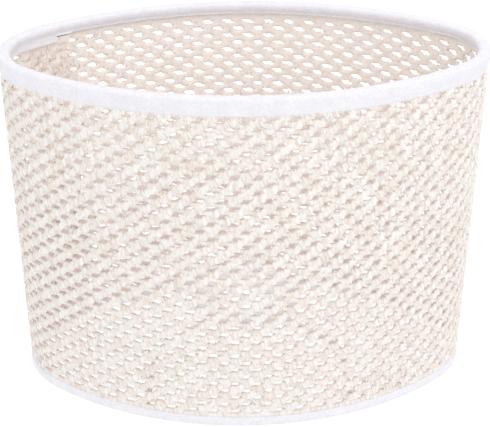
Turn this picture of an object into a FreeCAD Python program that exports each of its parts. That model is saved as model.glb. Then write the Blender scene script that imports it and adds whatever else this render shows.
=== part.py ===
"""Oval drum lamp shade: a woven panel on two wire rings, with bound rims and a fixed fitter.

Millimetres, +Z up. The origin is on the shade's middle axis, level with the lower rim. +X is
along the long side, and -Y is the front.
"""
import FreeCAD, Part
import math
import os
import re
import Sketcher

doc = FreeCAD.newDocument("OvalShade")

# ---------------------------------------------------------------- driving dimensions
DIMENSIONS = (
    ("height", 182),                # over both tapes
    ("upper_half_length", 125),     # upper rim: an oval of four tangent arcs
    ("upper_half_depth", 72),
    ("upper_end_radius", 42),
    ("lower_half_length", 120),     # lower rim: about the same girth, bent a little rounder
    ("lower_half_depth", 75),
    ("lower_end_radius", 47),
    ("glue_gap", 0.1),              # film of glue between neighbouring pieces
    ("tape_thickness", 0.5),
    ("upper_tape_outside", 9),      # how far a tape reaches along the wall from its rim
    ("upper_tape_inside", 6),
    ("lower_tape_outside", 5.5),
    ("lower_tape_inside", 6),
    ("panel_thickness", 2),
    ("wire_diameter", 3),
    ("lap_width", 29),              # the panel's second layer where its ends overlap
    ("lap_thickness", 1.8),
    ("lap_rim_clearance", 5),
    ("lap_edge_x", -95),            # free edge of the inner layer, at the back left
    ("lap_edge_y", 43),
    ("lap_turn", 40.5),             # degrees from the long side, along the lap
    ("lap_zone_margin", 2),         # how far the blocks that cut out the lap pass the wall
    ("adhesive_thickness", 0.3),
    ("adhesive_width", 22),
    ("adhesive_setback", 1),
    ("fitter_level", 34),           # middle of the fitter ring's rim
    ("fitter_bore_radius", 14.5),
    ("fitter_outer_radius", 29.5),
    ("fitter_plate_thickness", 1.2),
    ("fitter_rim_height", 4),
    ("fitter_rim_thickness", 1.2),
    ("arm_diameter", 3),
    ("arm_turn", 42),               # degrees from the front or back, seen from above
    ("arm_bend_start", 66),         # from the middle axis
    ("arm_bend_radius", 8),
    ("arm_foot_setback", 0.75),     # from the lower wire's middle to the end of an arm's line
    ("notch_width", 6),             # slit in the lower tape's inner fold, round each arm
    ("notch_depth", 7),
)

sheet = doc.addObject("Spreadsheet::Sheet", "Dimensions")
for row, (name, value) in enumerate(DIMENSIONS, start=1):
    sheet.set(f"A{row}", name)
    sheet.set(f"B{row}", str(value))
    sheet.setAlias(f"B{row}", name)
doc.recompute()

ALIASES = re.compile(r"\b(" + "|".join(name for name, _ in DIMENSIONS) + r")\b")


def bound(formula):
    """A formula of the sheet's words, as an expression for any other object."""
    return ALIASES.sub(r"Dimensions.\1", formula)


def worth(formula):
    """What a formula comes to now, for the first shape of a sketch."""
    answer = sheet.evalExpression(formula)
    return float(getattr(answer, "Value", answer))


# ---------------------------------------------------------------- layers through the wall
# Each is a distance inwards from the outside of the tapes.
PANEL_OUTSIDE = "(tape_thickness + glue_gap)"
PANEL_INSIDE = "(tape_thickness + glue_gap + panel_thickness)"
WIRE_MIDDLE = "(tape_thickness + 2 * glue_gap + panel_thickness + wire_diameter / 2)"
INNER_FOLD = "(tape_thickness + 3 * glue_gap + panel_thickness + wire_diameter)"
TAPE_INSIDE = "(2 * tape_thickness + 3 * glue_gap + panel_thickness + wire_diameter)"
LAP_INSIDE = "(tape_thickness + glue_gap + panel_thickness + adhesive_thickness + lap_thickness)"
ADHESIVE_INSIDE = "(tape_thickness + glue_gap + panel_thickness + adhesive_thickness)"
# Levels of the pieces that the tapes fold over.
PANEL_EDGE = "(tape_thickness + glue_gap)"
LOWER_WIRE_LEVEL = "(tape_thickness + glue_gap + wire_diameter / 2)"
UPPER_WIRE_LEVEL = "(height - tape_thickness - glue_gap - wire_diameter / 2)"


def oval(level, inset):
    """Formulas for an oval's half length, half depth and end radius, inside the rims' outline."""
    sizes = []
    for size in ("half_length", "half_depth", "end_radius"):
        lower, upper = f"lower_{size}", f"upper_{size}"
        sizes.append(f"({lower} + ({upper} - {lower}) * ({level}) / height - {inset})")
    return sizes


def side_radius(length, depth, end):
    """Radius of the front and back arcs, which meet the end arcs with no corner."""
    return f"((({length} - {end}) ^ 2 + {depth} ^ 2 - {end} ^ 2) / (2 * ({depth} - {end})))"


# ---------------------------------------------------------------- sketches
def plane(body, role):
    return next(item for item in body.Origin.OriginFeatures if item.Role == role)


def new_sketch(body, name, role, offset="0"):
    """A sketch on one of its body's origin planes, moved along that plane's normal."""
    sketch = body.newObject("Sketcher::SketchObject", name)
    sketch.AttachmentSupport = (plane(body, role), [""])
    sketch.MapMode = "FlatFace"
    sketch.setExpression(".AttachmentOffset.Base.z", bound(offset))
    return sketch


def fix(sketch, name, formula, kind, *where):
    """Adds a size that follows the sheet."""
    index = sketch.addConstraint(Sketcher.Constraint(kind, *where, worth(formula)))
    sketch.renameConstraint(index, name)
    sketch.setExpression(f".Constraints.{name}", bound(formula))


def hold(sketch, kind, *where):
    sketch.addConstraint(Sketcher.Constraint(kind, *where))


UP = FreeCAD.Vector(0, 0, 1)
ORIGIN = (-1, 1)
X_AXIS = -1
Y_AXIS = -2
START, END, CENTRE = 1, 2, 3


def turn_about_z(item, holder, angle):
    """Turns a placement about the vertical by an angle that follows the sheet."""
    placement = getattr(item, holder)
    placement.Rotation = FreeCAD.Rotation(UP, 1)    # an angle of 0 would leave it with no axis
    setattr(item, holder, placement)
    item.setExpression(f".{holder}.Rotation.Angle", bound(angle))


def arc(x, y, radius, start, end):
    circle = Part.Circle(FreeCAD.Vector(x, y, 0), UP, radius)
    return Part.ArcOfCircle(circle, start, end)


def line(a, b):
    return Part.LineSegment(FreeCAD.Vector(*a, 0), FreeCAD.Vector(*b, 0))


def draw_half_oval(sketch, level, inset, tag):
    """The right half of an oval, as a front, an end and a back arc. Returns their numbers."""
    sizes = oval(level, inset)
    length, depth, end = (worth(size) for size in sizes)
    side = worth(side_radius(*sizes))
    tilt = math.atan2(side - depth, length - end)
    front = sketch.addGeometry(arc(0, side - depth, side, -math.pi / 2, -tilt))
    tip = sketch.addGeometry(arc(length - end, 0, end, -tilt, tilt))
    back = sketch.addGeometry(arc(0, depth - side, side, tilt, math.pi / 2))
    hold(sketch, "Tangent", front, END, tip, START)
    hold(sketch, "Tangent", tip, END, back, START)
    hold(sketch, "PointOnObject", tip, CENTRE, X_AXIS)
    for index, point in ((front, CENTRE), (back, CENTRE), (front, START), (back, END)):
        hold(sketch, "PointOnObject", index, point, Y_AXIS)
    fix(sketch, f"{tag}_end_radius", sizes[2], "Radius", tip)
    fix(sketch, f"{tag}_end_centre", f"{sizes[0]} - {sizes[2]}", "DistanceX", *ORIGIN, tip, CENTRE)
    fix(sketch, f"{tag}_back", sizes[1], "DistanceY", *ORIGIN, back, END)
    fix(sketch, f"{tag}_front", sizes[1], "DistanceY", front, START, *ORIGIN)
    return front, tip, back


def half_ring_sketch(body, name, level, outer, inner):
    """The right half of the flat ring between two ovals."""
    sketch = new_sketch(body, name, "XY_Plane", level)
    outside = draw_half_oval(sketch, level, outer, "outer")
    inside = draw_half_oval(sketch, level, inner, "inner")
    out_depth = worth(oval(level, outer)[1])
    in_depth = worth(oval(level, inner)[1])
    near = sketch.addGeometry(line((0, -out_depth), (0, -in_depth)))
    far = sketch.addGeometry(line((0, out_depth), (0, in_depth)))
    hold(sketch, "Coincident", near, START, outside[0], START)
    hold(sketch, "Coincident", near, END, inside[0], START)
    hold(sketch, "Coincident", far, START, outside[2], END)
    hold(sketch, "Coincident", far, END, inside[2], END)
    return sketch


def circle_sketch(body, name, role, offset, x, y, diameter):
    sketch = new_sketch(body, name, role, offset)
    centre = FreeCAD.Vector(worth(x), worth(y), 0)
    ring = sketch.addGeometry(Part.Circle(centre, UP, worth(diameter) / 2))
    fix(sketch, "thickness", diameter, "Diameter", ring)
    if x == "0":
        hold(sketch, "PointOnObject", ring, CENTRE, Y_AXIS)
    else:
        fix(sketch, "across", x, "DistanceX", *ORIGIN, ring, CENTRE)
    fix(sketch, "up", y, "DistanceY", *ORIGIN, ring, CENTRE)
    return sketch


def outline_sketch(body, name, role, offset, corners):
    """A closed outline of straight, upright or level edges through the given corners."""
    sketch = new_sketch(body, name, role, offset)
    places = [(worth(x), worth(y)) for x, y in corners]
    count = len(places)
    edges = [sketch.addGeometry(line(places[i], places[(i + 1) % count])) for i in range(count)]
    for i, edge in enumerate(edges):
        following = edges[(i + 1) % count]
        hold(sketch, "Coincident", edge, END, following, START)
        level_edge = corners[i][1] == corners[(i + 1) % count][1]
        hold(sketch, "Horizontal" if level_edge else "Vertical", edge)
    for i, (x, y) in enumerate(corners):
        if i % 2 == 0:
            fix(sketch, f"corner_{i}_x", x, "DistanceX", *ORIGIN, edges[i], START)
            if y == "0":
                hold(sketch, "PointOnObject", edges[i], START, X_AXIS)
            else:
                fix(sketch, f"corner_{i}_y", y, "DistanceY", *ORIGIN, edges[i], START)
    return sketch


# ---------------------------------------------------------------- features
def new_body(label):
    body = doc.addObject("PartDesign::Body", label)
    body.Label = label
    return body


def half_wall(body, name, outer, inner, low, high):
    """The right half of a wall between two ovals that follow the shade's slope."""
    loft = body.newObject("PartDesign::AdditiveLoft", name)
    loft.Profile = half_ring_sketch(body, f"{name}_low", low, outer, inner)
    loft.Sections = [half_ring_sketch(body, f"{name}_high", high, outer, inner)]
    loft.Ruled = True
    return loft


def mirror(body, *features):
    """Adds the left half."""
    doc.recompute()
    mirrored = body.newObject("PartDesign::Mirrored", f"{body.Name}_both_sides")
    mirrored.Originals = list(features)
    mirrored.MirrorPlane = (plane(body, "YZ_Plane"), [""])
    body.Tip = mirrored
    doc.recompute()
    return body


def wall(label, outer, inner, low, high):
    body = new_body(label)
    return mirror(body, half_wall(body, f"{label}_wall", outer, inner, low, high))


def pair(kind, label, base, tool):
    """A Part boolean of two objects."""
    both = doc.addObject(kind, label)
    both.Base = base
    both.Tool = tool
    both.Label = label
    doc.recompute()
    return both


# ---------------------------------------------------------------- panel and its lap
def lap_box(name, setback, width):
    """A block that holds a stretch of the lap, whose long side follows the wall."""
    block = doc.addObject("Part::Box", name)
    block.setExpression("Length", bound(width))
    block.setExpression("Width", bound(f"lap_zone_margin + {LAP_INSIDE} * 2"))
    block.setExpression("Height", bound("height - 2 * lap_rim_clearance"))
    turn_about_z(block, "Placement", "180 + lap_turn")
    start_x = f"lap_edge_x - lap_zone_margin * sin(lap_turn) - {setback} * cos(lap_turn)"
    start_y = f"lap_edge_y + lap_zone_margin * cos(lap_turn) - {setback} * sin(lap_turn)"
    block.setExpression(".Placement.Base.x", bound(start_x))
    block.setExpression(".Placement.Base.y", bound(start_y))
    block.setExpression(".Placement.Base.z", bound("lap_rim_clearance"))
    return block


def make_panel():
    """The woven panel, with its inner layer at the lap, and the adhesive between the layers."""
    top = f"height - {PANEL_EDGE}"
    shell = wall("panel_shell", PANEL_OUTSIDE, PANEL_INSIDE, PANEL_EDGE, top)
    into_shell = f"({PANEL_INSIDE} - glue_gap)"
    layer = wall("lap_layer", into_shell, LAP_INSIDE, PANEL_EDGE, top)
    film = wall("adhesive_layer", PANEL_INSIDE, ADHESIVE_INSIDE, PANEL_EDGE, top)
    lap = pair("Part::Common", "lap", layer, lap_box("lap_zone", "0", "lap_width"))
    zone = lap_box("adhesive_zone", "adhesive_setback", "adhesive_width")
    adhesive = pair("Part::Common", "seam_adhesive", film, zone)
    lapped = pair("Part::Fuse", "lapped_panel", shell, lap)
    return pair("Part::Cut", "woven_panel", lapped, adhesive), adhesive


# ---------------------------------------------------------------- wire rings
def make_wire_ring(label, level):
    """A round wire bent to the oval that the rim follows."""
    body = new_body(label)
    path = new_sketch(body, f"{label}_path", "XY_Plane", level)
    draw_half_oval(path, level, WIRE_MIDDLE, "wire")
    depth = oval(level, WIRE_MIDDLE)[1]
    section = circle_sketch(body, f"{label}_section", "YZ_Plane", "0", depth, level, "wire_diameter")
    doc.recompute()
    pipe = body.newObject("PartDesign::AdditivePipe", f"{label}_pipe")
    pipe.Profile = section
    pipe.Spine = path
    return mirror(body, pipe)


# ---------------------------------------------------------------- binding tapes
def make_upper_tape():
    """Tape over the upper rim: an outer leg, a lid and a shorter inner leg."""
    body = new_body("upper_binding_tape")
    under_lid = "height - tape_thickness"
    outer = half_wall(body, "upper_outer_leg", "0", "tape_thickness",
                      "height - upper_tape_outside", under_lid)
    lid = half_wall(body, "upper_lid", "0", TAPE_INSIDE, under_lid, "height")
    inner = half_wall(body, "upper_inner_leg", INNER_FOLD, TAPE_INSIDE,
                      "height - upper_tape_inside", under_lid)
    return mirror(body, outer, lid, inner)


def notch(body, name, turn):
    """A slit in the lower tape's inner leg, across an arm's line."""
    sketch = new_sketch(body, name + "_outline", "XY_Plane", "tape_thickness")
    turn_about_z(sketch, "AttachmentOffset", turn)
    half = "notch_width / 2"
    near = f"({wire_crossing()} - notch_depth / 2)"
    far = f"({wire_crossing()} - arm_foot_setback)"
    x0, x1, y1 = worth(near), worth(far), worth(half)
    places = ((x0, -y1), (x1, -y1), (x1, y1), (x0, y1))
    edges = [sketch.addGeometry(line(places[i], places[(i + 1) % 4])) for i in range(4)]
    for i, edge in enumerate(edges):
        hold(sketch, "Coincident", edge, END, edges[(i + 1) % 4], START)
        hold(sketch, "Vertical" if i % 2 else "Horizontal", edge)
    fix(sketch, "near", near, "DistanceX", *ORIGIN, edges[0], START)
    fix(sketch, "far", far, "DistanceX", *ORIGIN, edges[2], START)
    fix(sketch, "right", half, "DistanceY", edges[0], START, *ORIGIN)
    fix(sketch, "left", half, "DistanceY", *ORIGIN, edges[2], START)
    doc.recompute()
    pocket = body.newObject("PartDesign::Pocket", name)
    pocket.Profile = sketch
    pocket.Reversed = True
    pocket.setExpression("Length", bound("lower_tape_inside"))
    return pocket


def make_lower_tape():
    """Tape over the lower rim, with a slit in its inner leg for each arm."""
    body = new_body("lower_binding_tape")
    over_lid = "tape_thickness"
    outer = half_wall(body, "lower_outer_leg", "0", "tape_thickness",
                      over_lid, "lower_tape_outside")
    lid = half_wall(body, "lower_lid", "0", TAPE_INSIDE, "0", over_lid)
    inner = half_wall(body, "lower_inner_leg", INNER_FOLD, TAPE_INSIDE,
                      over_lid, "lower_tape_inside")
    doc.recompute()
    front = notch(body, "front_notch", "arm_turn - 90")
    back = notch(body, "back_notch", "90 - arm_turn")
    return mirror(body, outer, lid, inner, front, back)


# ---------------------------------------------------------------- fitter
def wire_crossing():
    """How far from the middle axis an arm's line crosses the middle of the lower wire."""
    sizes = oval(LOWER_WIRE_LEVEL, WIRE_MIDDLE)
    side = side_radius(*sizes)
    centre = f"({side} - {sizes[1]})"
    across = f"({centre} * sin(arm_turn))"
    return f"(sqrt({side} ^ 2 - {across} ^ 2) - {centre} * cos(arm_turn))"


def make_fitter_ring():
    """A pressed ring: a flat plate with a raised rim that the arms are welded to."""
    body = new_body("fitter_ring")
    low = "(fitter_level - fitter_rim_height / 2)"
    plate_top = f"({low} + fitter_plate_thickness)"
    high = "(fitter_level + fitter_rim_height / 2)"
    rim_inside = "(fitter_outer_radius - fitter_rim_thickness)"
    corners = (("fitter_bore_radius", low), ("fitter_outer_radius", low),
               ("fitter_outer_radius", high), (rim_inside, high),
               (rim_inside, plate_top), ("fitter_bore_radius", plate_top))
    section = outline_sketch(body, "fitter_section", "XZ_Plane", "0", corners)
    doc.recompute()
    turned = body.newObject("PartDesign::Revolution", "fitter_turned")
    turned.Profile = section
    turned.ReferenceAxis = (section, ["V_Axis"])
    turned.Angle = 360
    body.Tip = turned
    doc.recompute()
    return body


def make_arm(label, turn, fitter, wire):
    """A wire welded to the fitter's rim, level at first, then bent down to the lower wire."""
    body = new_body(f"{label}_wire")
    begin = "(fitter_outer_radius - fitter_rim_thickness / 2)"
    foot = f"({wire_crossing()} - arm_foot_setback)"
    path = new_sketch(body, f"{label}_path", "XZ_Plane")
    x0, x1, y0 = worth(begin), worth("arm_bend_start"), worth("fitter_level")
    x2, y2 = worth(foot), worth(LOWER_WIRE_LEVEL)
    bend = worth("arm_bend_radius")
    slope = math.atan2(y0 - y2, x2 - x1)
    sine, cosine = math.sin(slope), math.cos(slope)
    level = path.addGeometry(line((x0, y0), (x1, y0)))
    knee = path.addGeometry(arc(x1, y0 - bend, bend, math.pi / 2 - slope, math.pi / 2))
    leg = path.addGeometry(line((x1 + bend * sine, y0 - bend + bend * cosine), (x2, y2)))
    hold(path, "Tangent", level, END, knee, END)
    hold(path, "Tangent", knee, START, leg, START)
    hold(path, "Horizontal", level)
    fix(path, "bend_radius", "arm_bend_radius", "Radius", knee)
    fix(path, "begin", begin, "DistanceX", *ORIGIN, level, START)
    fix(path, "level", "fitter_level", "DistanceY", *ORIGIN, level, START)
    fix(path, "bend_start", "arm_bend_start", "DistanceX", *ORIGIN, level, END)
    fix(path, "foot_x", foot, "DistanceX", *ORIGIN, leg, END)
    fix(path, "foot_y", LOWER_WIRE_LEVEL, "DistanceY", *ORIGIN, leg, END)
    section = circle_sketch(body, f"{label}_section", "YZ_Plane", begin, "0", "fitter_level",
                            "arm_diameter")
    doc.recompute()
    pipe = body.newObject("PartDesign::AdditivePipe", f"{label}_pipe")
    pipe.Profile = section
    pipe.Spine = path
    body.Tip = pipe
    turn_about_z(body, "Placement", turn)
    doc.recompute()
    coped = pair("Part::Cut", f"{label}_coped", body, fitter)
    return pair("Part::Cut", label, coped, wire)


# ---------------------------------------------------------------- the shade
def build():
    """Makes every piece and returns them in the order they are fitted together."""
    panel, adhesive = make_panel()
    upper_wire = make_wire_ring("upper_wire_ring", UPPER_WIRE_LEVEL)
    lower_wire = make_wire_ring("lower_wire_ring", LOWER_WIRE_LEVEL)
    pieces = [panel, adhesive, upper_wire, lower_wire, make_upper_tape(), make_lower_tape()]
    fitter = make_fitter_ring()
    pieces.append(fitter)
    turns = (("front_left", "270 - arm_turn"), ("front_right", "270 + arm_turn"),
             ("back_right", "90 - arm_turn"), ("back_left", "90 + arm_turn"))
    for side, turn in turns:
        pieces.append(make_arm(f"fitter_arm_{side}", turn, fitter, lower_wire))
    return pieces


def check(pieces):
    """Stops unless every object computed and every piece is one sound solid."""
    doc.recompute()
    for item in doc.Objects:
        if {"Invalid", "Error"} & set(item.State):
            raise RuntimeError(f"{item.Label} failed: {item.State}")
    for piece in pieces:
        shape = piece.Shape
        if shape.isNull() or not shape.isValid() or len(shape.Solids) != 1:
            raise RuntimeError(f"{piece.Label} is not one valid solid")


shade = build()
check(shade)
os.makedirs("parts", exist_ok=True)
for piece in shade:
    piece.Shape.exportStep(f"parts/{piece.Label}.step")
    box = piece.Shape.BoundBox
    print(f"{piece.Label}: {piece.Shape.Volume:.0f} mm3, {box.XLength:.1f} x {box.YLength:.1f}"
          f" x {box.ZLength:.1f} mm, from {box.ZMin:.2f} to {box.ZMax:.2f} up")
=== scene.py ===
"""Looks for the oval lamp shade of open straw weave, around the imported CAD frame."""
import math

import bpy
import numpy as np
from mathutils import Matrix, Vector


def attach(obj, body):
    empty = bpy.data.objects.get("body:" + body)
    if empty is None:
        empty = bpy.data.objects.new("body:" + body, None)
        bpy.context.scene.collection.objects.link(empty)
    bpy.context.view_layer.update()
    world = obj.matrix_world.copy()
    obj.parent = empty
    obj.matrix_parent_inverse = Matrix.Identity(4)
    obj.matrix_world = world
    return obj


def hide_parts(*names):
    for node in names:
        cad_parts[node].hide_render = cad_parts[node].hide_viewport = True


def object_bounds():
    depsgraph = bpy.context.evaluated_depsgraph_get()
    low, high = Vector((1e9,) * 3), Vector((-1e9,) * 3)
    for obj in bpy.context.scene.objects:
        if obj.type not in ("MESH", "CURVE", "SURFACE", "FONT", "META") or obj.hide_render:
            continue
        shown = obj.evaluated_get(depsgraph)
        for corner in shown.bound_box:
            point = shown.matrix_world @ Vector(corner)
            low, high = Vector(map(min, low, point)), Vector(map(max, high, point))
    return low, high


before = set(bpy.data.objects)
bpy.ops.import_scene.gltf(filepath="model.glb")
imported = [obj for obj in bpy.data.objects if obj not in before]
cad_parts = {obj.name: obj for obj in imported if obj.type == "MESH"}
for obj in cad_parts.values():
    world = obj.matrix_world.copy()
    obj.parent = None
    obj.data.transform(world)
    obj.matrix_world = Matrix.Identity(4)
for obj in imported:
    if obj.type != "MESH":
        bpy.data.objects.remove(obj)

CAD_LOW, CAD_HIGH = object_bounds()
MM = 0.001
RNG = np.random.default_rng(20)

# ---------------------------------------------------------------- the shade's shape, in mm
HEIGHT = (CAD_HIGH.z - CAD_LOW.z) / MM
LOWER_OVAL = np.array([120.0, 75.0, 47.0])   # half length, half depth, end radius
UPPER_OVAL = np.array([125.0, 72.0, 42.0])
GIRTH = 620.0            # round the middle of the wall
UPPER_TAPE_OUT = 9.0     # how far the tapes reach over the outside
LOWER_TAPE_OUT = 5.5
LAP_START = 101.0        # along the wall from the back's middle, towards the left
LAP_WIDTH = 29.0
LAP_EASE = 7.0           # past the lap, the panel comes out to its own line over this run
WALL_MIDDLE = 1.6        # inset of the weave's middle from the outside of the tapes
LAP_MIDDLE = 3.8         # the same for the inner layer of the lap


class Oval:
    """The shade's plan at one level. Places are shares of the girth, from the back's middle."""

    def __init__(self, level):
        share = level / HEIGHT
        self.length, self.depth, self.end = LOWER_OVAL + (UPPER_OVAL - LOWER_OVAL) * share
        across = self.length - self.end
        # the long sides' radius, and half the angle of an end's arc
        self.side = (across ** 2 + self.depth ** 2 - self.end ** 2) / (2 * (self.depth - self.end))
        self.turn = math.atan2(self.side - self.depth, across)
        side_run = (self.side - WALL_MIDDLE) * (math.pi / 2 - self.turn)
        end_run = (self.end - WALL_MIDDLE) * self.turn
        quarter = side_run + end_run
        self.girth = 4 * quarter
        stops = [0, side_run, side_run + 2 * end_run, 3 * side_run + 2 * end_run,
                 3 * side_run + 4 * end_run, 4 * quarter]
        turns = [math.pi / 2, math.pi - self.turn, math.pi + self.turn,
                 2 * math.pi - self.turn, 2 * math.pi + self.turn, 2.5 * math.pi]
        self.stops = np.array(stops) / self.girth
        self.turns = np.array(turns)

    def facing(self, share):
        """The outward direction's angle from +X at a share of the girth."""
        return np.interp(np.mod(share, 1.0), self.stops, self.turns)

    def place(self, share, inset):
        """X and Y at a share of the girth, an inset in from the outside."""
        angle = self.facing(share)
        at_end = np.abs(np.cos(angle)) >= math.cos(self.turn)
        centre_x = np.where(at_end, np.sign(np.cos(angle)) * (self.length - self.end), 0.0)
        centre_y = np.where(at_end, 0.0, np.sign(np.sin(angle)) * (self.depth - self.side))
        radius = np.where(at_end, self.end, self.side) - inset
        return centre_x + radius * np.cos(angle), centre_y + radius * np.sin(angle)


# ---------------------------------------------------------------- helpers
SHARP_ANGLE = math.radians(62)


def smooth(x, low, high):
    """0 up to low and 1 from high on, with an eased step between them."""
    t = np.clip((x - low) / (high - low), 0.0, 1.0)
    return t * t * (3 - 2 * t)


def soft_noise(count, step, rng):
    """Even random values from -1 to 1 along a line, with a feature every few samples."""
    knots = rng.uniform(-1, 1, int(count / step) + 3)
    return np.interp(np.arange(count) / step, np.arange(len(knots)), knots)


def tube_quads(stations, around):
    """Quads of a tube's skin. Its points come station by station, in rings of equal size."""
    ring = np.arange(stations - 1)[:, None] * around
    here = ring + np.arange(around)
    after = ring + (np.arange(around) + 1) % around
    return np.stack([here, after, after + around, here + around], axis=2).reshape(-1, 4)


def facing_out(points, quads):
    """The quads of a closed surface, turned the other way if they face in."""
    a, b, c, d = (points[quads[:, k]] for k in range(4))
    volume = np.einsum("ij,ij->", a, np.cross(b, c) + np.cross(c, d))
    return quads if volume >= 0 else quads[:, ::-1]


def make_mesh(name, points, quads, attributes=None):
    """A smooth mesh from points in mm. attributes gives each point numbers for the material."""
    quads = facing_out(points, quads).astype(np.int32)
    mesh = bpy.data.meshes.new(name)
    mesh.vertices.add(len(points))
    mesh.vertices.foreach_set("co", (points * MM).astype(np.float32).ravel())
    mesh.loops.add(quads.size)
    mesh.loops.foreach_set("vertex_index", quads.ravel())
    mesh.polygons.add(len(quads))
    mesh.polygons.foreach_set("loop_start", np.arange(0, quads.size, 4, dtype=np.int32))
    mesh.polygons.foreach_set("loop_total", np.full(len(quads), 4, np.int32))
    mesh.update(calc_edges=True)
    mesh.validate()
    mesh.polygons.foreach_set("use_smooth", np.ones(len(mesh.polygons), bool))
    mesh.set_sharp_from_angle(angle=SHARP_ANGLE)
    for key, values in (attributes or {}).items():
        kind, field = ("FLOAT_VECTOR", "vector") if values.ndim == 2 else ("FLOAT", "value")
        layer = mesh.attributes.new(key, kind, "POINT")
        layer.data.foreach_set(field, values.astype(np.float32).ravel())
    piece = bpy.data.objects.new(name, mesh)
    bpy.context.scene.collection.objects.link(piece)
    return piece


# ---------------------------------------------------------------- materials
class Nodes:
    """A short way to build a material's nodes."""

    def __init__(self, name):
        self.material = bpy.data.materials.new(name)
        self.material.use_nodes = True
        self.tree = self.material.node_tree
        self.shader = self.tree.nodes["Principled BSDF"]

    def add(self, kind, **settings):
        node = self.tree.nodes.new(kind)
        for key, value in settings.items():
            if key in node.inputs:
                node.inputs[key].default_value = value
            else:
                setattr(node, key, value)
        return node

    def link(self, source, target):
        self.tree.links.new(source, target)

    def attribute(self, name, output):
        return self.add("ShaderNodeAttribute", attribute_name=name).outputs[output]

    def stretched(self, vector, scale):
        node = self.add("ShaderNodeMapping")
        node.inputs["Scale"].default_value = scale
        self.link(vector, node.inputs["Vector"])
        return node.outputs["Vector"]

    def noise(self, vector, scale, detail=3.0, roughness=0.6):
        node = self.add("ShaderNodeTexNoise", Scale=scale, Detail=detail, Roughness=roughness)
        self.link(vector, node.inputs["Vector"])
        return node.outputs["Fac"]

    def ramp(self, factor, stops):
        node = self.add("ShaderNodeValToRGB")
        ramp = node.color_ramp
        while len(ramp.elements) < len(stops):
            ramp.elements.new(0.5)
        for element, (place, colour) in zip(ramp.elements, stops):
            element.position = place
            element.color = (*colour, 1.0)
        self.link(factor, node.inputs["Fac"])
        return node.outputs["Color"]

    def math(self, operation, a, b):
        node = self.add("ShaderNodeMath", operation=operation)
        for socket, value in zip(node.inputs, (a, b)):
            if isinstance(value, (int, float)):
                socket.default_value = value
            else:
                self.link(value, socket)
        return node.outputs[0]

    def mix(self, factor, a, b, blend="MIX"):
        node = self.add("ShaderNodeMix", data_type="RGBA", blend_type=blend)
        for socket, value in zip((node.inputs[0], node.inputs[6], node.inputs[7]), (factor, a, b)):
            if isinstance(value, (int, float)):
                socket.default_value = value
            elif isinstance(value, tuple):
                socket.default_value = (*value, 1.0)
            else:
                self.link(value, socket)
        return node.outputs[2]

    def times(self, colour, by, amount=1.0):
        """A colour multiplied by another one, fully or in part."""
        return self.mix(amount, colour, by, "MULTIPLY")

    def bump(self, height, strength, distance):
        node = self.add("ShaderNodeBump", Strength=strength, Distance=distance)
        self.link(height, node.inputs["Height"])
        self.link(node.outputs["Normal"], self.shader.inputs["Normal"])

    def roughness(self, factor, low, high):
        node = self.add("ShaderNodeMapRange")
        node.inputs["To Min"].default_value = low
        node.inputs["To Max"].default_value = high
        self.link(factor, node.inputs["Value"])
        self.link(node.outputs[0], self.shader.inputs["Roughness"])


def straw_material():
    """Straw yarn: fibres along each strand, in cream, tan and near-white lengths.

    The point numbers say where a point lies along its strand, how far it faces inwards, and how
    near it is to the edge of a hole, which sets its painted shade there. The inside is painted
    paler and warmer, as painted light for the light that bounces round inside the shade, and
    painted shade darkens it towards the foot. The edges of the holes are browner with painted
    shade, least at the foot.
    """
    n = Nodes("straw_weave")
    white = (1.0, 1.0, 1.0)
    along = n.attribute("strand", "Vector")
    inner = n.attribute("inner", "Fac")
    fibres = n.noise(n.stretched(along, (0.45, 3.2, 1.0)), 1.0, 3.0, 0.65)
    lengths = n.noise(n.stretched(along, (0.16, 0.75, 1.0)), 1.0, 2.0, 0.5)
    cream = n.ramp(lengths, ((0.34, (0.84, 0.74, 0.67)), (0.45, (0.93, 0.87, 0.82)),
                             (0.55, (0.96, 0.93, 0.90)), (0.64, (0.99, 0.985, 0.98))))
    dark = n.ramp(fibres, ((0.30, (0.88, 0.82, 0.78)), (0.52, white)))
    colour = n.times(cream, dark, 0.75)
    patches = n.noise(n.stretched(along, (0.05, 0.22, 1.0)), 1.0, 2.0, 0.5)
    warm = n.ramp(patches, ((0.36, (1.0, 0.88, 0.77)), (0.52, (1.0, 0.985, 0.965))))
    # painted light: the inside is painted paler and warmer than the outside, for the light that
    # bounces round inside the shade; the warm patches in it vary at random
    colour = n.times(colour, n.mix(inner, (0.935, 0.945, 0.945), warm))
    painted_inner_light = n.math("MULTIPLY", inner, 0.70)
    colour = n.mix(painted_inner_light, colour, (1.0, 0.94, 0.90))

    axes = n.add("ShaderNodeSeparateXYZ")
    n.link(n.add("ShaderNodeTexCoord").outputs["Object"], axes.inputs["Vector"])
    level = n.math("DIVIDE", axes.outputs["Z"], HEIGHT * MM)
    # painted shade: the inner face darkens towards the foot, where less light reaches inside the
    # shade
    painted_foot_shade = n.ramp(level, ((0.25, (0.84, 0.78, 0.78)), (0.62, white)))
    colour = n.times(colour, n.mix(inner, white, painted_foot_shade))
    # painted shade in the holes: their edges darken and turn browner, least at the foot, where the
    # floor lights them
    hole_shade_colour = n.ramp(level, ((0.10, (0.95, 0.92, 0.91)), (0.42, (0.79, 0.72, 0.71))))
    colour = n.times(colour, n.mix(n.attribute("painted_hole_shade", "Fac"), white, hole_shade_colour))
    n.link(colour, n.shader.inputs["Base Color"])
    n.roughness(fibres, 0.62, 0.88)
    n.bump(fibres, 0.6, 0.0003)
    n.shader.inputs["Specular IOR Level"].default_value = 0.25
    n.shader.inputs["Sheen Weight"].default_value = 0.15
    return n.material


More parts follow.
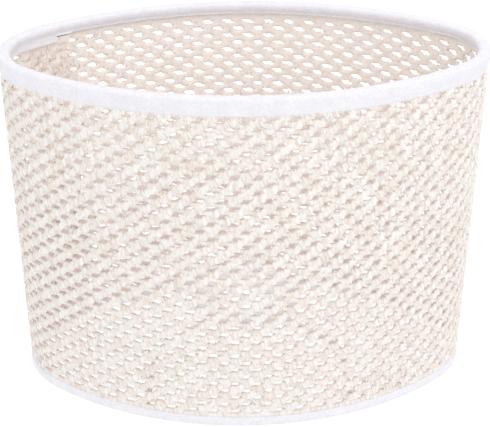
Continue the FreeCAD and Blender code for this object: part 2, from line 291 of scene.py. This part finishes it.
def tape_material():
    """White non-woven tape: a fine mottle of short fibres, and faint creases."""
    n = Nodes("white_tape")
    place = n.add("ShaderNodeTexCoord").outputs["Object"]
    mottle = n.noise(place, 900.0, 4.0, 0.7)
    patches = n.noise(place, 160.0, 3.0, 0.6)
    colour = n.ramp(mottle, ((0.35, (0.78, 0.77, 0.81)), (0.60, (0.86, 0.85, 0.89))))
    soft = n.ramp(patches, ((0.35, (0.95, 0.95, 0.96)), (0.65, (1.0, 1.0, 1.0))))
    n.link(n.times(colour, soft), n.shader.inputs["Base Color"])
    n.roughness(mottle, 0.65, 0.85)
    n.bump(n.math("ADD", mottle, patches), 0.35, 0.0002)
    n.shader.inputs["Specular IOR Level"].default_value = 0.3
    return n.material


def painted_material(name, colour, scale):
    """Powder-coated metal with a slight orange-peel surface."""
    n = Nodes(name)
    place = n.add("ShaderNodeTexCoord").outputs["Object"]
    peel = n.noise(place, scale, 2.0, 0.5)
    worn = n.noise(place, scale * 0.12, 3.0, 0.6)
    darker = tuple(c * 0.93 for c in colour)
    n.link(n.ramp(worn, ((0.35, darker), (0.62, colour))), n.shader.inputs["Base Color"])
    n.roughness(peel, 0.32, 0.5)
    n.bump(peel, 0.25, 0.0001)
    return n.material


def glue_material():
    """Dried adhesive that has soaked into the straw."""
    n = Nodes("adhesive")
    place = n.add("ShaderNodeTexCoord").outputs["Object"]
    smears = n.noise(place, 240.0, 4.0, 0.65)
    colour = n.ramp(smears, ((0.35, (0.80, 0.71, 0.62)), (0.65, (0.88, 0.82, 0.74))))
    n.link(colour, n.shader.inputs["Base Color"])
    n.roughness(smears, 0.35, 0.7)
    n.bump(smears, 0.5, 0.0004)
    return n.material


# ---------------------------------------------------------------- the woven panel
ROWS = 43
PANEL_LOW = 0.5
PANEL_HIGH = HEIGHT - 3.3
ROW_PITCH = (PANEL_HIGH - PANEL_LOW) / ROWS
PITCH = 11.4             # between holes along a row
HOLE_WIDTH = 5.2
HOLE_HEIGHT = 2.25
HOLE_DROP = 0.40         # how steeply the holes fall towards the outside
HOLE_SLANT = 1.5         # how far a hole's upper edge lies along from its lower edge
HOLES_LOW = LOWER_TAPE_OUT + 1.0     # the weave is closed below and above these levels
HOLES_HIGH = HEIGHT - UPPER_TAPE_OUT
LAP_CLOSES = 0.9         # how much the lap's inner layer closes its holes
FOLD_REACH = 6.5         # so near a rim, the tape's inner fold takes the inner layer's place
PAD_OVERLAP = 0.14       # how far the strands of a pad run into the next row
SWELL = 0.25             # how far a yarn swings in and out
TUCK = 0.35              # how far a tape presses the yarns under it inwards
TUCK_EASE = 3.0          # and how far from the tape they are free again
YARN_HALF_DEPTH = 1.0
SIDES = 8                # points round a yarn
STEP = 0.72              # from a strand's crest to the next groove
CREST = 1.07             # a yarn's depth at a crest and in a groove, against its mean
GROOVE = 0.76
LEAN = 0.9               # how far the strands lean where a yarn climbs or drops, in mm
PAD_CORNER_UP = 0.41     # how far a yarn's corners swell where it joins the next row
PAD_CORNER_OUT = 0.28


def hole_window(along, wider):
    """1 over a hole and 0 over a pad, eased between, at distances from a hole's middle."""
    away = np.abs(np.mod(along + PITCH / 2, PITCH) - PITCH / 2)
    return 1 - smooth(away - wider, HOLE_WIDTH / 2 - 0.8, HOLE_WIDTH / 2 + 0.6)


def inner_layer(run):
    """1 along the lap's inner layer, easing to 0 where the panel reaches its own line."""
    return 1 - smooth(run, LAP_START + LAP_WIDTH, LAP_START + LAP_WIDTH + LAP_EASE)


def under_tape(level):
    """1 for a row under a tape, easing to 0 for a row that is clear of both."""
    from_top = HEIGHT - level
    return (1 - smooth(from_top, UPPER_TAPE_OUT, UPPER_TAPE_OUT + TUCK_EASE)
            + 1 - smooth(level, LOWER_TAPE_OUT, LOWER_TAPE_OUT + TUCK_EASE))


def yarn_run(level):
    """A yarn's stations along the panel. Near a rim it leaves out the lap's inner layer."""
    near_rim = level < FOLD_REACH or level > HEIGHT - FOLD_REACH
    skipped = 2 * int((LAP_WIDTH + 2) / STEP / 2) if near_rim else 0
    count = int((GIRTH + LAP_WIDTH) / STEP) - skipped
    return LAP_START + STEP * (skipped + np.arange(count))


def yarn_edges(level, along, lean, layer, rng):
    """How far a yarn reaches to its lower edge (-1) and its upper edge (1), all along it.

    The second dictionary says how far it joins the next row there: 0 in a hole and 1 in a pad.
    """
    count = len(along)
    reach, joined = {}, {}
    for way in (-1, 1):
        middle_of_hole = 0.0 if way > 0 else PITCH / 2
        wider = 0.4 * soft_noise(count, 16, rng)
        window = hole_window(along + way * lean - middle_of_hole + way * HOLE_SLANT / 2, wider)
        clear_of_tapes = HOLES_LOW < level + way * ROW_PITCH / 2 < HOLES_HIGH
        window *= clear_of_tapes * (1 - LAP_CLOSES * layer)
        window *= 1 + 0.18 * soft_noise(count, 16, rng)
        ragged = 0.09 * soft_noise(count, 1, rng)
        reach[way] = ROW_PITCH / 2 + PAD_OVERLAP - (HOLE_HEIGHT / 2 + PAD_OVERLAP) * window + ragged
        joined[way] = 1 - np.clip(window, 0, 1)
    return reach, joined


def hole_edge_share(cosine):
    """How much of the painted shade at a hole's edge a side of a yarn takes on."""
    if abs(cosine) < 0.1:
        return 1.0
    return 0.1 if cosine > 0 else 0.0


def yarn_ends(stations):
    """Quads that close both ends of a yarn."""
    caps = []
    for first, order in ((0, -1), ((stations - 1) * SIDES, 1)):
        corners = [first + k for k in range(SIDES)][::order]
        for k in range(1, SIDES - 1, 2):
            caps.append((corners[0], corners[k], corners[k + 1], corners[k + 2]))
    return caps


def yarn_row(row, rng):
    """Points, quads and point numbers of one yarn, once round the shade and the lap."""
    level = PANEL_LOW + (row + 0.5) * ROW_PITCH
    oval = Oval(level)
    run = yarn_run(level)
    count = len(run)
    along = run + 0.5 * PITCH * (row % 2) + 0.35 * soft_noise(count, 40, rng)
    climb = np.sin(2 * math.pi * along / PITCH)
    tucked = under_tape(level)
    outward = (SWELL * climb + 0.12 * soft_noise(count, 9, rng)) * (1 - tucked) - TUCK * tucked
    layer = inner_layer(run)
    middle = WALL_MIDDLE + (LAP_MIDDLE - WALL_MIDDLE) * layer - outward
    lean = -LEAN * climb + 0.25 * soft_noise(count, 6, rng)
    crest = np.where(np.arange(count) % 2 == 0, CREST, GROOVE) + 0.07 * soft_noise(count, 2, rng)
    reach, joined = yarn_edges(level, along, lean, layer, rng)
    half = (reach[1] + reach[-1]) / 2
    centre = level + (reach[1] - reach[-1]) / 2

    points = np.empty((count, SIDES, 3))
    strand = np.empty((count, SIDES, 3))
    inner = np.empty((count, SIDES))
    painted_hole_shade = np.empty((count, SIDES))
    for side in range(SIDES):
        angle = 2 * math.pi * side / SIDES
        sine, cosine = math.sin(angle), math.cos(angle)
        depth = crest + 0.05 * soft_noise(count, 3, rng)
        next_row = joined[1 if sine > 0 else -1]
        is_corner = abs(sine * cosine) > 0.1
        square = next_row if is_corner else 0.0
        rise = sine * (1 + PAD_CORNER_UP * square)
        out = cosine * depth * (1 + PAD_CORNER_OUT * square)
        x, y = oval.place((run + lean * rise) / GIRTH, middle - YARN_HALF_DEPTH * out)
        z = centre + half * rise - HOLE_DROP * YARN_HALF_DEPTH * out
        points[:, side] = np.stack([x, y, z], axis=1)
        # the strands lie round the yarn, and each row's pattern is shifted
        strand[:, side, 0] = 1.3 * abs(angle - math.pi)
        strand[:, side, 1] = run
        strand[:, side, 2] = row * 7.0
        inner[:, side] = 0.5 - 0.5 * cosine
        # painted shade on the sides of a yarn that face into a hole
        painted_hole_shade[:, side] = (1 - next_row) * hole_edge_share(cosine)
    quads = np.concatenate([tube_quads(count, SIDES), yarn_ends(count)])
    return points.reshape(-1, 3), quads, strand.reshape(-1, 3), inner.ravel(), painted_hole_shade.ravel()


# a loose strand's four stations: shares of its length, and heights over the middle of the weave
STRAND_ARCH = ((-0.5, 0.5), (-0.22, 1.02), (0.22, 1.02), (0.5, 0.5))
STRAND_SIDES = 4
STRAND_POINTS = len(STRAND_ARCH) * STRAND_SIDES


def strand_quads(count):
    """Quads of many closed tubes, whose points come tube by tube."""
    ends = [(0, 3, 2, 1), (12, 13, 14, 15)]
    pattern = np.concatenate([ends, tube_quads(len(STRAND_ARCH), STRAND_SIDES)])
    return (STRAND_POINTS * np.arange(count)[:, None, None] + pattern).reshape(-1, 4)


def loose_strands(row, rng, low, high, per_pad, tangle):
    """Short thin strands that cross the pads on both faces, as tubes with square sections.

    They lie between two distances along the panel. A tangle of 1 turns them every way.
    """
    level = PANEL_LOW + (row + 0.5) * ROW_PITCH
    oval = Oval(level)
    first = math.ceil(2 * low / PITCH)
    pads = int(2 * high / PITCH) - first
    count = pads * per_pad
    pad = first + np.arange(count) % pads
    towards_pad = np.where((pad + row) % 2 == 0, -1.0, 1.0)
    # 1 on the outside and -1 on the inside, then the lean from upright in radians
    face = np.where(rng.random(count) < 0.6 - 0.6 * tangle, 1.0, -1.0)
    tilt = np.where(rng.random(count) < 0.62, -0.35, 0.6)
    tilt += rng.uniform(-0.3, 0.3, count) * (1 + 3 * tangle)
    length = rng.uniform(2.6, 4.6, count)
    thick = rng.uniform(0.20, 0.36, count)
    run = pad * PITCH / 2 + rng.uniform(-2.4, 2.4, count)
    middle = WALL_MIDDLE + (LAP_MIDDLE - WALL_MIDDLE) * inner_layer(run)
    up = towards_pad * (1 - tangle) + rng.uniform(-0.8, 0.8, count) * (1 + tangle)
    shade = rng.uniform(0, 900, count)
    # in a tangle, some strands take a random share of the painted shade of a hole's edge
    painted_hole_shade = tangle * rng.uniform(0.0, 0.9, count)

    points = np.empty((count, len(STRAND_ARCH), STRAND_SIDES, 3))
    strand = np.empty((count, len(STRAND_ARCH), STRAND_SIDES, 3))
    for station, (share, lift) in enumerate(STRAND_ARCH):
        for side in range(STRAND_SIDES):
            angle = 2 * math.pi * side / STRAND_SIDES
            wide = face * thick * math.cos(angle)
            across = share * length * np.sin(tilt) + wide * np.cos(tilt)
            out = face * (lift + thick * math.sin(angle))
            x, y = oval.place((run + across) / GIRTH, middle - out)
            z = level + up + share * length * np.cos(tilt) - wide * np.sin(tilt)
            points[:, station, side] = np.stack([x, y, z], axis=1)
            along = 2.0 * share * length
            strand[:, station, side] = np.stack([along, shade + 0.2 * side, shade], axis=1)
    inner = 0.5 - 0.5 * face
    return (points.reshape(-1, 3), strand_quads(count), strand.reshape(-1, 3),
            np.repeat(inner, STRAND_POINTS), np.repeat(painted_hole_shade, STRAND_POINTS))


def straw_piece(name, parts, material):
    """One mesh from the points, quads and point numbers of many lengths of straw."""
    points, quads, strand, inner, painted_hole_shade = zip(*parts)
    starts = np.cumsum([0] + [len(some) for some in points[:-1]])
    piece = make_mesh(name, np.concatenate(points),
                      np.concatenate([some + start for some, start in zip(quads, starts)]),
                      {"strand": np.concatenate(strand), "inner": np.concatenate(inner),
                       "painted_hole_shade": np.concatenate(painted_hole_shade)})
    piece.data.materials.append(material)
    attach(piece, "root")
    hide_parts("woven_panel")
    return piece


def panel_band(name, rows, material, rng):
    """A band of the panel's yarns as one mesh."""
    piece = straw_piece(name, [yarn_row(row, rng) for row in rows], material)


# ---------------------------------------------------------------- the binding tapes
TAPE = 0.5               # thickness
TAPE_LAP = 14.0          # the tape's start lies over its end for this length
TAPE_LIFT = 0.55         # and is raised by this much there
AROUND = 520             # stations round the rim
FREE_FROM = 4.3          # so far down the inside, the fold leaves the wire and can wave
TAPER_RUN = 10.0         # the wall's taper is measured over this distance from the rim
LONG_UNTIL = 40.0        # the inside fold is longest so far from the tape's start
LONG_GONE = 95.0         # and has its common length from here on


def arc(centre_x, centre_y, radius, first, last, count):
    """Points along an arc between two angles in degrees."""
    turns = [math.radians(first + (last - first) * k / (count - 1)) for k in range(count)]
    return [(centre_x + radius * math.cos(a), centre_y + radius * math.sin(a)) for a in turns]


def fold_profile(outside, inside, end):
    """Outer face of a folded tape, as insets and distances from the rim's edge.

    It reaches the given distances down the outside and the inside, and its end has an inset.
    """
    # up the outside, over the wire, down the inside and on to the end
    line = [(0.55, outside), (0.35, outside * 0.85), (0.1, outside * 0.6), (0.0, 2.6)]
    line += arc(1.5, 1.5, 1.5, 180, 270, 5)
    line.append((2.9, 0.12))
    line += arc(4.2, 2.1, 2.1, -90, 8, 8)
    line += [(6.15, 3.4), (5.75, 4.3), (end, 4.8), (end, (4.8 + inside) / 2), (end, inside)]
    return np.array(line)


def outer_normals(line):
    """Unit normals of a tape's profile, on the side away from the panel and the wire."""
    step = np.gradient(line, axis=0)
    step /= np.linalg.norm(step, axis=1)[:, None]
    normal = np.stack([-step[:, 1], step[:, 0]], axis=1)
    return normal * -np.sign(normal[0, 0])


def tape_skin(line, rim_level, way, start, extra, rng):
    """Points of a folded tape round one rim: at each station its outer face, then its inner one.

    way is -1 where the tape hangs from the rim and 1 where it stands on it. Inside, the tape is
    longer by extra near its start.
    """
    run = np.linspace(start, start + GIRTH + TAPE_LAP, AROUND)
    outside_noise = 0.16 * soft_noise(AROUND, 14, rng) + 0.08 * soft_noise(AROUND, 4, rng)
    inside_noise = 0.20 * soft_noise(AROUND, 17, rng) + 0.08 * soft_noise(AROUND, 4, rng)
    crease = -0.1 * rng.uniform(0, 1, (AROUND, len(line)))
    longer = extra * (1 - smooth(run, start + LONG_UNTIL, start + LONG_GONE))
    lift = TAPE_LIFT * (1 - smooth(run, start + TAPE_LAP, start + TAPE_LAP + 10))
    from_lap = np.mod(run - LAP_START, GIRTH)
    # 1 mm further in where the fold lies on the panel's lap
    over_lap = (1.0 - smooth(from_lap, LAP_WIDTH, LAP_WIDTH + LAP_EASE)
                + smooth(from_lap, GIRTH - 3, GIRTH))

    outer = np.tile(line, (AROUND, 1, 1))
    outer[:, :3, 1] += outside_noise[:, None] * np.array([1.0, 0.5, 0.2])
    down_inside = np.clip((outer[:, :, 1] - FREE_FROM) / (line[-1, 1] - FREE_FROM), 0, 1)
    down_inside[:, :int(np.argmin(line[:, 1]))] = 0
    outer[:, :, 1] += down_inside * (inside_noise + longer)[:, None]
    outer[:, :, 0] += down_inside * over_lap[:, None]
    normal = outer_normals(line)
    outer += normal * (lift[:, None] + crease)[:, :, None] * np.array([1.0, 0.25])
    under = outer - normal * TAPE
    inset, away = np.moveaxis(np.concatenate([outer, under[:, ::-1]], axis=1), 2, 0)

    place = run[:, None] / GIRTH
    x_rim, y_rim = Oval(rim_level).place(place, inset)
    x_far, y_far = Oval(rim_level + way * TAPER_RUN).place(place, inset)
    share = away / TAPER_RUN
    return np.stack([x_rim + (x_far - x_rim) * share, y_rim + (y_far - y_rim) * share,
                     rim_level + way * away], axis=2)


def tape_ends(around):
    """Quads that close both ends of a tape, between its outer and inner faces."""
    caps = []
    for first, order in ((0, -1), ((AROUND - 1) * around, 1)):
        for k in range(around // 2 - 1):
            across = first + around - 1 - k
            caps.append((first + k, first + k + 1, across - 1, across)[::order])
    return caps


def tape_ring(name, node, line, skin, material):
    """A folded tape as one mesh, from its profile and its points."""
    around = 2 * len(line)
    quads = np.concatenate([tube_quads(AROUND, around), tape_ends(around)])
    piece = make_mesh(name, skin.reshape(-1, 3), quads)
    piece.data.materials.append(material)
    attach(piece, "root")
    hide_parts(node)


# ---------------------------------------------------------------- the object
straw = straw_material()
tape = tape_material()
metal = painted_material("white_metal", (0.93, 0.95, 0.98), 700.0)
wire = painted_material("coated_wire", (0.93, 0.94, 0.96), 900.0)
glue = glue_material()

# the panel is one cloth, in four meshes so that none is too large
BANDS = "abcd"
edges = np.linspace(0, ROWS, len(BANDS) + 1).astype(int)
for band, first, last in zip(BANDS, edges, edges[1:]):
    panel_band(f"woven_panel_{band}", range(first, last), straw, RNG)

# the strands keep off the rows under the tapes, and the lap is more tangled than the rest
STRAND_ROWS = {"low": range(2, 15), "middle": range(15, 28), "high": range(28, ROWS - 1)}
PER_PAD = 4
PER_LAP_PAD = 9
for third, rows in STRAND_ROWS.items():
    strands = [loose_strands(row, RNG, LAP_START + 3, LAP_START + LAP_WIDTH + GIRTH - 3, PER_PAD, 0.0)
               for row in rows if row < ROWS - 2]
    strands += [loose_strands(row, RNG, LAP_START, LAP_START + LAP_WIDTH + 3, PER_LAP_PAD, 1.0)
                for row in rows]
    straw_piece(f"loose_strands_{third}", strands, straw)

upper_fold = fold_profile(outside=UPPER_TAPE_OUT, inside=6.0, end=5.2)
upper_skin = tape_skin(upper_fold, HEIGHT, way=-1, start=109.0, extra=2.8, rng=RNG)
tape_ring("upper_tape", "upper_binding_tape", upper_fold, upper_skin, tape)
lower_fold = fold_profile(outside=LOWER_TAPE_OUT, inside=5.3, end=3.2)
lower_skin = tape_skin(lower_fold, 0.0, way=1, start=60.0, extra=0.0, rng=RNG)
tape_ring("lower_tape", "lower_binding_tape", lower_fold, lower_skin, tape)

FINISH = {"seam_adhesive": glue, "fitter_ring": metal}
for node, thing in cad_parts.items():
    thing.data.materials.clear()
    thing.data.materials.append(FINISH.get(node, wire))


# ---------------------------------------------------------------- stage, light and camera
SKY_STRENGTH = 0.98
FLOOR_GREY = 0.2
FLOOR_GLOW = 0.86
FLOOR_REACH = 3000.0     # mm
FLOOR_DROP = 0.0003      # below the shade
KEY_PLACE = Vector((0.45, -0.6, 1.4))   # from the shade's middle, in metres like its size
KEY_SIZE = 1.3
KEY_POWER = 6.5
LENS = 101.1             # mm, on a sensor 36 mm wide
CAMERA_TURN = 2.137      # degrees towards the left from the front
CAMERA_RISE = 27.109     # degrees above level
CAMERA_AWAY = 2.968      # in lengths of the shade
TARGET_HEIGHT = 0.344    # in lengths of the shade
WHITE = (1.0, 1.0, 1.0, 1.0)


def soft_light(name, place, size, power, target):
    """A square area light that faces the target."""
    data = bpy.data.lights.new(name, "AREA")
    data.size = size
    data.energy = power
    lamp = bpy.data.objects.new(name, data)
    bpy.context.scene.collection.objects.link(lamp)
    lamp.location = place
    lamp.rotation_mode = "QUATERNION"
    lamp.rotation_quaternion = (target - lamp.location).to_track_quat("-Z", "Y")


def white_floor():
    """A wide floor that glows almost white, just under the shade."""
    n = Nodes("pale_floor")
    n.shader.inputs["Base Color"].default_value = (FLOOR_GREY, FLOOR_GREY, FLOOR_GREY, 1.0)
    n.shader.inputs["Roughness"].default_value = 0.9
    n.shader.inputs["Emission Color"].default_value = WHITE
    n.shader.inputs["Emission Strength"].default_value = FLOOR_GLOW
    corners = [(-1, -1, 0), (1, -1, 0), (1, 1, 0), (-1, 1, 0)]
    floor = make_mesh("floor", FLOOR_REACH * np.array(corners), np.array([(0, 1, 2, 3)]))
    floor.location.z = CAD_LOW.z - FLOOR_DROP
    floor.data.materials.append(n.material)


def studio():
    """White surroundings, the floor and one soft key light."""
    world = bpy.data.worlds.new("studio")
    bpy.context.scene.world = world
    world.use_nodes = True
    back = world.node_tree.nodes["Background"]
    back.inputs["Color"].default_value = WHITE
    back.inputs["Strength"].default_value = SKY_STRENGTH
    white_floor()
    middle = (CAD_LOW + CAD_HIGH) / 2
    soft_light("key", middle + KEY_PLACE, KEY_SIZE, KEY_POWER, middle)


def camera():
    """A long lens, a little to the left of the front and well above."""
    data = bpy.data.cameras.new("camera")
    data.lens = LENS
    data.sensor_width = 36.0
    view = bpy.data.objects.new("camera", data)
    bpy.context.scene.collection.objects.link(view)
    length = CAD_HIGH.x - CAD_LOW.x
    target = Vector(((CAD_LOW.x + CAD_HIGH.x) / 2, (CAD_LOW.y + CAD_HIGH.y) / 2,
                     TARGET_HEIGHT * length))
    turn, rise = math.radians(CAMERA_TURN), math.radians(CAMERA_RISE)
    back = Vector((-math.sin(turn) * math.cos(rise), -math.cos(turn) * math.cos(rise),
                   math.sin(rise)))
    view.location = target + back * (CAMERA_AWAY * length)
    view.rotation_mode = "QUATERNION"
    view.rotation_quaternion = (-back).to_track_quat("-Z", "Y")
    bpy.context.scene.camera = view


studio()
camera()
bpy.context.scene.view_settings.view_transform = "Standard"
